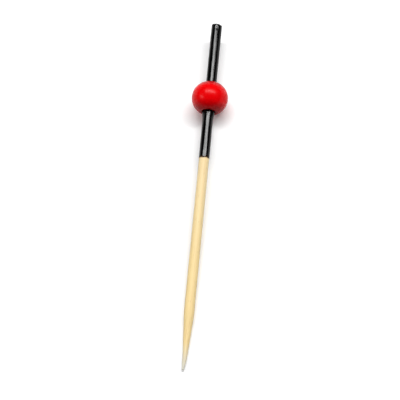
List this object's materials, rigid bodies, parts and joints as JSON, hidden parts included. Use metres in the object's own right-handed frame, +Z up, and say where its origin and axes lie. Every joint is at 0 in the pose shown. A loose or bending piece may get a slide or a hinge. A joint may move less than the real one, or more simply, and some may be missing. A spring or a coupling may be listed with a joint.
{
  "type": "cocktail pick",
  "caption": "Round bamboo pick with a sharpened point, a head dipped in black lacquer and a round red lacquered bead glued on below the head end.",
  "frame": {"origin": "on the table that the pick lies on, under the middle of its length and width", "axes": "+Y along the table from the point to the lacquered head, +Z up from the table, +X across the pick; the pick's own axis rises about 3.2 degrees towards +Y, because the bead lifts the head"},
  "size_m": [0.012, 0.1198, 0.012],
  "materials": {
    "bamboo": "planed round, bare",
    "black_lacquer": "dipped, glossy",
    "bead_wood": "turned, bare",
    "red_lacquer": "lacquered, glossy",
    "glue": "set, glossy"
  },
  "bodies": {
    "root": {"bamboo_stick": "bamboo", "black_lacquer": "black_lacquer", "wooden_bead": "bead_wood", "red_lacquer": "red_lacquer", "glue_line": "glue"}
  },
  "joints": []
}
